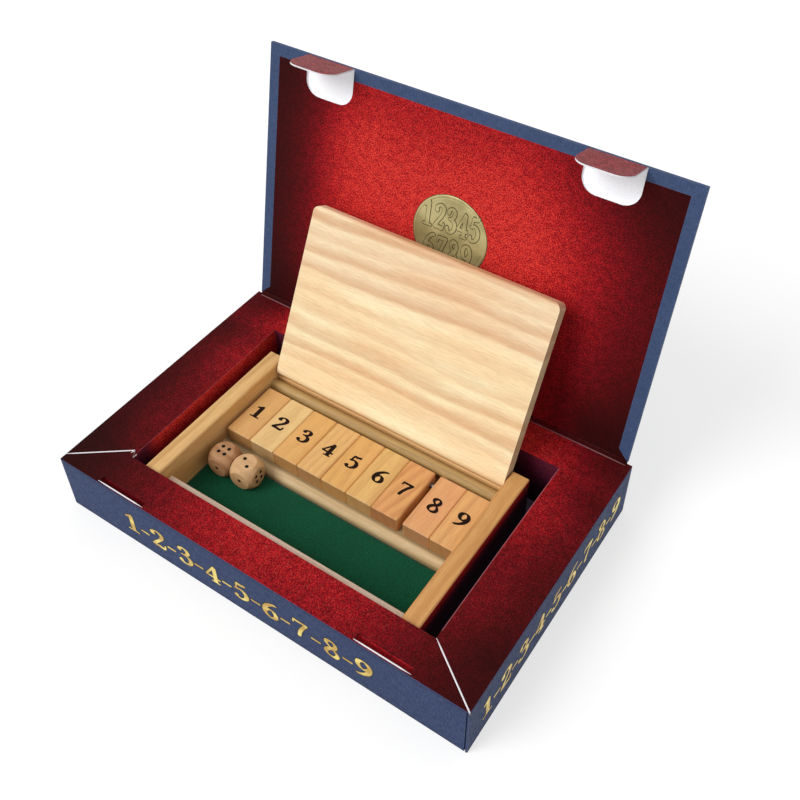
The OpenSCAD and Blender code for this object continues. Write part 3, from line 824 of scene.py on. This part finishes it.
# ---------------------------------------------------------------- Wooden tray
# A shallow pine tray: two full-height side rails with rounded edges, lower front and back
# rails between them, a base board, a rounded sill in front of the tiles and a round strip
# behind them. Sanded, and sealed with a thin satin varnish.

# Timber figure: bands of dark late wood across the grain, fine fibre, flecks, broad clouds
timber, given, result = new_group(
    "timber figure",
    (("Place", "Vector"), ("Ring mm", "Float"), ("Slope", "Float"), ("Wander", "Float"),
     ("Ripple", "Float"), ("Seed", "Float")),
    (("Late", "Float"), ("Fibre", "Float"), ("Fleck", "Float"), ("Cloud", "Float")))
seed = put(timber, "CombineXYZ", {axis: times(timber, given["Seed"], shift)
                                  for axis, shift in enumerate((37.1, 17.3, 5.9))})
mm = put(timber, "VectorMath", {0: given["Place"], 3: 1000.0}, operation="SCALE")
mm = put(timber, "VectorMath", {0: mm, 1: seed}, operation="ADD")
px, py, pz = axes(timber, mm)
sway = calc(timber, "SUBTRACT", grain_noise(timber, stretch(timber, mm, .011, .05, .05)), 0.5)
uneven = calc(timber, "SUBTRACT",
              grain_noise(timber, stretch(timber, mm, .035, .30, .30), 1, 3.0), 0.5)
ring = calc(timber, "MULTIPLY_ADD", pz, 0.4, py)
ring = calc(timber, "MULTIPLY_ADD", px, given["Slope"], ring)
ring = calc(timber, "DIVIDE", ring, given["Ring mm"])
ring = calc(timber, "MULTIPLY_ADD", sway, given["Wander"], ring)
ring = calc(timber, "MULTIPLY_ADD", uneven, given["Ripple"], ring)
part = calc(timber, "FRACT", ring)
strength = put(timber, "TexWhiteNoise",
               {"W": calc(timber, "ADD", calc(timber, "FLOOR", ring), given["Seed"])},
               noise_dimensions="1D")
late = fades(timber, (part, 0.18, 0.74), (part, 1.0, 0.80), (strength, 0.0, 1.0, 0.35, 1.0))
fibre = grain_noise(timber, stretch(timber, mm, 0.16, 3.2, 3.2), 1.0, 4.0, 0.65)
fleck = grain_noise(timber, stretch(timber, mm, 0.5, 6.5, 6.5), 1.0, 2.0, 0.5)
cloudy = grain_noise(timber, stretch(timber, mm, 0.02, 0.06, 0.06), 1.0, 2.0)
for label, value in (("Late", late), ("Fibre", spread(timber, fibre, 0.25, 0.75)),
                     ("Fleck", spread(timber, fleck, 0.62, 0.76)),
                     ("Cloud", spread(timber, cloudy, 0.32, 0.68))):
    timber.links.new(value, result[label])


def wood(name, early, late, tint, grain="X", ring=8.0, slope=0.0, wander=2.0, seed=0.0,
         end_grain_and_shade_share=0.35, rough=0.5, centre=None, turn=0.0, reach=0.0006, flecks=0.25, ripple=0.4,
         bands=1.0, papered=None, rings=()):
    """Timber of these colours, with its grain along X or Y, or along a piece's own axes.

    Rings of (distance, strength) are drawn one by one over the even bands; papered is the
    direction of a face that is covered with the carton's red paper."""
    material, tree, shader = new_material(name, Specular_IOR_Level=0.35)
    place, normal = local(tree), local(tree, "Normal")
    along = axes(tree, normal)["XYZ".index(grain)]
    if centre:
        place = put(tree, "Mapping", {"Vector": place, "Location": centre,
                    "Rotation": (turn, 0.0, 0.0)}, vector_type="TEXTURE")
    if grain == "Y":
        place = put(tree, "Mapping", {"Vector": place, "Rotation": (0, 0, math.pi / 2)})
    figure = use(tree, timber, Place=place, Ring_mm=ring, Slope=slope, Wander=wander,
                 Ripple=ripple, Seed=seed)
    colour = mix(tree, times(tree, figure["Late"], bands), srgb(*early), srgb(*late))
    colour = mix(tree, times(tree, figure["Cloud"], 0.55), colour, srgb(*tint))
    if rings:                 # past 30 mm they run askew, and past 47 mm the board is redder
        x, y = axes(tree, place)[:2]
        askew = times(tree, x, spread(tree, y, -0.030, -0.055, 0.0, 0.04))
        wavy = calc(tree, "ADD", askew, calc(tree, "MULTIPLY_ADD", figure["Cloud"], 0.0024, y))
        colour = mix(tree, spread(tree, wavy, -0.047, -0.054), colour,
                     (0.96, 0.90, 0.92, 1.0), "MULTIPLY")
    for at, strength in rings:   # each darkens within 2 mm, and fades over the next 6
        share = fades(tree, (wavy, 0.003 - at, 0.001 - at, 0.0, strength),
                      (wavy, -0.0055 - at, 0.0005 - at))
        colour = mix(tree, share, colour, (0.81, 0.68, 0.62, 1.0), "MULTIPLY")
    streak = mix(tree, figure["Fibre"], (0.84, 0.80, 0.74, 1), (1.06, 1.05, 1.03, 1))
    colour = mix(tree, 1.0, colour, streak, "MULTIPLY")
    dark = tuple(0.55 * v for v in srgb(*late)[:3]) + (1.0,)
    colour = mix(tree, times(tree, figure["Fleck"], flecks), colour, dark)
    # end grain and painted shade: faces across the grain are darkened
    end_grain_and_shade = times(tree, spread(tree, calc(tree, "ABSOLUTE", along), 0.6, 0.9), end_grain_and_shade_share)
    colour = mix(tree, end_grain_and_shade, colour, dark)
    # edge wear and painted highlight: near the edges the wood is lightened
    edge_wear_and_highlight = use(tree, edge_wear_and_highlight_mask, Place=place, Reach=reach, Patches=180.0)["Edge"]
    painted_edge_highlight = tuple(min(1.0, 1.25 * v) for v in srgb(*early)[:3]) + (1.0,)
    colour = mix(tree, times(tree, edge_wear_and_highlight, 0.3), colour, painted_edge_highlight)
    if papered:
        here, facing = own_place(tree)
        outward = put(tree, "VectorMath", {0: facing, 1: papered}, operation="DOT_PRODUCT",
                      out="Value")
        sunk = calc(tree, "SUBTRACT", 0.028, axes(tree, here)[2])
        # painted shade: the paper darkens to near black further down the narrow gap beside the well
        paper, _ = red_print(tree, here, spread(tree, sunk, 0.0, 0.012, 0.66, 0.1))
        paper = mix(tree, spread(tree, sunk, 0.002, 0.010, 0.0, 0.85), paper,
                    srgb(30, 16, 40))
        colour = mix(tree, spread(tree, outward, 0.85, 0.95), colour, paper)
    height = calc(tree, "MULTIPLY_ADD", figure["Late"], 0.5, figure["Fibre"])
    finish_surface(tree, shader, colour,
                   spread(tree, figure["Fibre"], 0, 1, rough + 0.1, rough - 0.06), height,
                   0.00003)
    return material


def over_paint(material, share, colour):
    """Mixes a colour over a finished material's own, by this share of it."""
    tree = material.node_tree
    base = tree.nodes["Principled BSDF"].inputs["Base Color"]
    tree.links.new(mix(tree, share, base.links[0].from_socket, srgb(*colour)), base)


TRAY_TIMBER = (   # node, material, grain, ring in mm, seed, early wood, late wood, tint
    ("tray_front_rail", "front rail pine", "X", 5.0, 3.0,
     (244, 226, 206), (222, 192, 166), (246, 226, 212)),
    ("tray_back_rail", "back rail pine", "X", 5.0, 4.0,
     (218, 174, 114), (180, 130, 74), (220, 180, 124)),
    ("tray_base", "base plywood", "X", 9.0, 5.0,
     (212, 174, 118), (180, 138, 90), (216, 184, 136)),
    ("tile_stop_strip", "stop strip pine", "X", 3.5, 7.0,
     (190, 156, 100), (146, 112, 64), (178, 144, 90)))
for node, name, grain, ring, seed, early, late, tint in TRAY_TIMBER:
    dress(wood(name, early, late, tint, grain, ring, seed=seed), node)
dress(wood("left rail pine", (226, 184, 124), (196, 146, 86), (230, 190, 130), "Y", 5.5,
           seed=1.0, papered=(-1, 0, 0)), "tray_left_rail")
dress(wood("right rail pine", (212, 160, 98), (180, 120, 64), (222, 168, 104), "Y", 4.5,
           seed=2.0, papered=(1, 0, 0)), "tray_right_rail")

# Painted shade: the sill darkens under the tiles' front ends and down at the felt
sill = wood("sill pine", (216, 190, 146), (184, 152, 106), (220, 198, 160), "X", 6.0,
            seed=6.0)
tree = sill.node_tree
y, z = axes(tree, local(tree))[1:]
over_paint(sill, most(tree, spread(tree, y, -0.0089, -0.0074, 0.0, 0.6),
                      spread(tree, z, 0.0122, 0.0092, 0.0, 0.6)), (112, 90, 52))
dress(sill, "tile_sill")


# ---------------------------------------------------------------- Green felt
# A rectangle of green wool felt is glued flat on the base board in front of the sill, as a
# quiet landing for the dice. Its pile is short and its cut edges are slightly rounded.

felt_low, felt_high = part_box("felt")
FELT_X, FELT_Y = 121, 30                          # points along and across
FELT_ROUND, FELT_WAVE = 0.0003, 0.00004           # drop of its cut edge, height of its waves
verts, faces = [], []
rng = np.random.default_rng(5)
waves = rng.uniform(-1, 1, (6, 3))
for j in range(FELT_Y):
    for i in range(FELT_X):
        x = felt_low.x + (felt_high.x - felt_low.x) * i / (FELT_X - 1)
        y = felt_low.y + (felt_high.y - felt_low.y) * j / (FELT_Y - 1)
        edge = min(i, FELT_X - 1 - i, j, FELT_Y - 1 - j)
        lift = sum(math.sin(a * 260 * x + b * 300 * y + 3 * c) for a, b, c in waves) / 6
        z = felt_high.z - (FELT_ROUND if edge == 0 else 0.0) - FELT_WAVE * (1 + lift)
        verts.append((x, y, z))
for j in range(FELT_Y - 1):
    for i in range(FELT_X - 1):
        a = j * FELT_X + i
        faces.append((a, a + 1, a + 1 + FELT_X, a + FELT_X))
rim = ([*range(FELT_X)] + [j * FELT_X + FELT_X - 1 for j in range(1, FELT_Y)]
       + [(FELT_Y - 1) * FELT_X + i for i in range(FELT_X - 2, -1, -1)]
       + [j * FELT_X for j in range(FELT_Y - 2, 0, -1)])
base, around = len(verts), len(rim)
verts += [(verts[k][0], verts[k][1], felt_low.z) for k in rim]
for k in range(around):
    m = (k + 1) % around
    faces.append((rim[k], base + k, base + m, rim[m]))
faces.append(tuple(base + k for k in reversed(range(around))))

felt_cloth, tree, shader = new_material("green wool felt", Specular_IOR_Level=0.05,
                                        Sheen_Weight=0.15, Sheen_Roughness=0.5)
place = local(tree)
pile = grain_noise(tree, place, 2600.0, 4.0, 0.7)
lint = grain_noise(tree, stretch(tree, place, 1.0, 0.5, 1.0), 900.0, 3.0, 0.6)
patch = grain_noise(tree, place, 70.0, 2.0)
colour = mix(tree, spread(tree, pile, 0.3, 0.7), srgb(2, 58, 38), srgb(16, 94, 62))
colour = mix(tree, spread(tree, patch, 0.3, 0.7, 0.0, 0.4), colour, srgb(12, 66, 44))
colour = mix(tree, spread(tree, lint, 0.66, 0.8, 0.0, 0.3), colour, srgb(60, 120, 90))
finish_surface(tree, shader, colour, spread(tree, pile, 0.3, 0.7, 0.85, 1.0), pile, 0.00012)
felt_piece = add_piece("green_felt", mesh_of("green_felt", verts, faces), felt_cloth, "tray",
                       True)
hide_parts("felt")


# ---------------------------------------------------------------- Steel rod and pins
# The tiles turn on one drawn steel rod, let into both side rails; the wooden lid turns on
# two short steel pins driven through the side rails.

steel, tree, shader = new_material("drawn steel", Metallic=1.0)
place = local(tree)
drawn = grain_noise(tree, stretch(tree, place, 0.08, 1.0, 1.0), 2400.0, 3.0)
finish_surface(tree, shader, mix(tree, drawn, srgb(92, 88, 86), srgb(132, 128, 126)),
               spread(tree, drawn, 0.3, 0.7, 0.34, 0.55), drawn, 0.00001)
dress(steel, "tile_rod", "left_lid_pin", "right_lid_pin")


# ---------------------------------------------------------------- Number tiles
# Nine hardwood tiles, each cut from its own piece, so no two have the same colour or
# figure. Their edges are eased, and each has its number stamped in dark brown ink.

numeral_ink, tree, shader = new_material("stamped brown ink", Specular_IOR_Level=0.1)
place = local(tree)
dry = grain_noise(tree, place, 1400.0, 4.0, 0.65)
finish_surface(tree, shader, mix(tree, spread(tree, dry, 0.35, 0.7), srgb(18, 7, 3),
               srgb(40, 18, 10)), spread(tree, dry, 0.3, 0.7, 0.45, 0.7), dry, 0.00002)

NUMERAL_HIGH, NUMERAL_WIDE, NUMERAL_Y = 0.0073, 0.0090, 0.0040
TILES = (   # lighter wood, darker wood, tint, ring in mm, slope, numeral's centre across
    ((222, 176, 110), (196, 140, 82), (222, 170, 112), 7.0, 0.06, -0.0536),
    ((234, 200, 140), (212, 168, 112), (238, 190, 140), 8.0, -0.05, -0.0410),
    ((226, 178, 108), (202, 146, 84), (232, 176, 110), 6.5, 0.10, -0.0275),
    ((230, 186, 120), (192, 134, 82), (236, 176, 120), 3.4, 0.05, -0.0142),
    ((228, 178, 106), (206, 150, 86), (232, 176, 112), 6.0, -0.12, -0.0013),
    ((230, 188, 118), (206, 156, 96), (228, 180, 114), 8.5, 0.04, 0.01235),
    ((224, 168, 106), (190, 122, 72), (230, 158, 108), 4.2, 0.22, 0.0248),
    ((226, 174, 114), (200, 144, 94), (230, 162, 118), 7.5, -0.06, 0.0399),
    ((230, 178, 114), (198, 140, 84), (232, 178, 122), 4.8, 0.03, 0.0529))
for n, (early, late, tint, ring, slope, middle) in enumerate(TILES, start=1):
    node = f"tile_{n}"
    dress(wood(f"tile wood {n}", early, late, tint, "Y", ring, slope, 1.2, 10.0 + n, end_grain_and_shade_share=0.75,
               rough=0.46, reach=0.0005, bands=0.65, ripple=0.3), node)
    foot = (middle - FIGURE_WIDE / 2 * NUMERAL_WIDE, NUMERAL_Y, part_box(node)[1].z)
    printed(f"tile_{n}_numeral", [(outlines(n, 0.016), NUMERAL_WIDE, NUMERAL_HIGH, 0.0, 0.0)],
            face_at(foot, (1, 0, 0), (0, 1, 0)), INK_THICK, numeral_ink, f"number_tile_{n}")


# ---------------------------------------------------------------- Wooden lid
# One pine board with round corners and edges that lies over the tray and swings up on two
# pins. Flat sawn: each growth ring ends in a dark line along it, and pales after it.

PIN_LINE, BOARD_LEAN = (-0.0007, 0.032628, 0.02475), math.radians(-117.0)
LID_RINGS = ((0.0085, 0.4), (0.015, 1.0), (0.024, 0.9), (0.033, 0.45), (0.042, 0.4),
             (0.0540, 0.9), (0.0625, 0.9), (0.0695, 0.5), (0.0765, 1.0))
dress(wood("wooden lid pine", (255, 241, 200), (238, 200, 148), (248, 209, 160), "X", 8.0,
           0.05, 1.0, 24.0, end_grain_and_shade_share=0.4, rough=0.45, centre=PIN_LINE, turn=BOARD_LEAN, reach=0.0008,
           flecks=0.18, ripple=0.16, bands=0.3, rings=LID_RINGS), "wooden_lid")


# ---------------------------------------------------------------- Dice
# Two small wooden dice, tumbled round at the corners, with shallow pips inked dark brown.
# They are loose in the tray.

SUNK = 0.00596         # a pip's hollow reaches less far out than this along every axis
ROUNDED = 0.00752      # and less far from the die's middle than this, where the corners start
for name, early, late, tilt in (
        ("die_1", (188, 146, 108), (156, 110, 76), 1.0),
        ("die_2", (216, 178, 134), (188, 144, 100), 4.5)):
    die = wood(name + " wood", early, late, early, "X", 5.0, 0.1, 1.5, 30.0 + tilt,
               end_grain_and_shade_share=0.15, rough=0.4, flecks=0.3)
    low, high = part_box(name)
    tree = die.node_tree
    centred = put(tree, "Mapping", {"Vector": local(tree), "Location": (low + high) / 2,
                  "Rotation": (0, 0, math.radians(tilt))}, vector_type="TEXTURE")
    outermost = most(tree, *(calc(tree, "ABSOLUTE", part) for part in axes(tree, centred)))
    reach = put(tree, "VectorMath", {0: centred}, operation="LENGTH", out="Value")
    pip = fades(tree, (outermost, SUNK, SUNK - 0.00004), (reach, ROUNDED + 0.00005, ROUNDED))
    up = axes(tree, local(tree))[2]
    # painted shade: each die darkens towards its foot
    over_paint(die, spread(tree, up, high.z - 0.003, low.z, 0.0, 0.5), (104, 74, 46))
    over_paint(die, pip, (16, 5, 2))
    tree.nodes["Principled BSDF"].inputs["Specular IOR Level"].default_value = 0.15
    dress(die, name)


# ---------------------------------------------------------------- Studio
# A plain white floor under one soft light from the upper left and an even white sky. The
# camera stands where the photograph was taken from.

camera_data = bpy.data.cameras.new("camera")
camera_data.sensor_width, camera_data.lens = 36.0, 45.914
camera_data.shift_x, camera_data.shift_y = -0.00257, -0.08513
camera = bpy.data.objects.new("camera", camera_data)
camera.location = (0.17528, -0.21039, 0.35751)
camera.rotation_euler = [math.radians(a) for a in (46.984, 0.538, 34.143)]
bpy.context.scene.collection.objects.link(camera)
bpy.context.scene.camera = camera

key_data = bpy.data.lights.new("key", "SUN")
key_data.energy, key_data.angle = 1.9, math.radians(32)
key = bpy.data.objects.new("key", key_data)
key.rotation_euler = Vector((0.40, 0.62, -0.66)).to_track_quat("-Z", "Y").to_euler()
bpy.context.scene.collection.objects.link(key)


def seen_directly(tree):
    """One where the camera sees a surface, directly or in a mirror or glass; else zero."""
    path = tree.nodes.new("ShaderNodeLightPath").outputs
    return most(tree, path["Is Camera Ray"], path["Is Glossy Ray"],
                path["Is Transmission Ray"])


world = bpy.data.worlds.new("studio")
bpy.context.scene.world = world
world.use_nodes = True
tree = world.node_tree
tree.nodes["Background"].inputs["Color"].default_value = (1.0, 1.0, 1.0, 1.0)
tree.links.new(spread(tree, seen_directly(tree), 0.0, 1.0, 0.6, 1.0),
               tree.nodes["Background"].inputs["Strength"])

floor_white, tree, shader = new_material("white floor", Roughness=1.0,
                                         Specular_IOR_Level=0.0)
place = local(tree)
even = grain_noise(tree, place, 3.0, 2.0)
tree.links.new(mix(tree, even, (0.44, 0.44, 0.44, 1), (0.46, 0.46, 0.46, 1)),
               shader["Base Color"])
shader["Emission Color"].default_value = (1.0, 1.0, 1.0, 1.0)
tree.links.new(times(tree, seen_directly(tree), 0.60), shader["Emission Strength"])
floor_mesh = bpy.data.meshes.new("floor")
floor_mesh.from_pydata([(8 * math.cos(math.pi * a / 32), 8 * math.sin(math.pi * a / 32),
                         -0.0002) for a in range(64)], [], [tuple(range(64))])
add_piece("floor", floor_mesh, floor_white)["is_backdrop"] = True

bpy.context.scene.view_settings.view_transform = "Standard"

low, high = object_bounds()
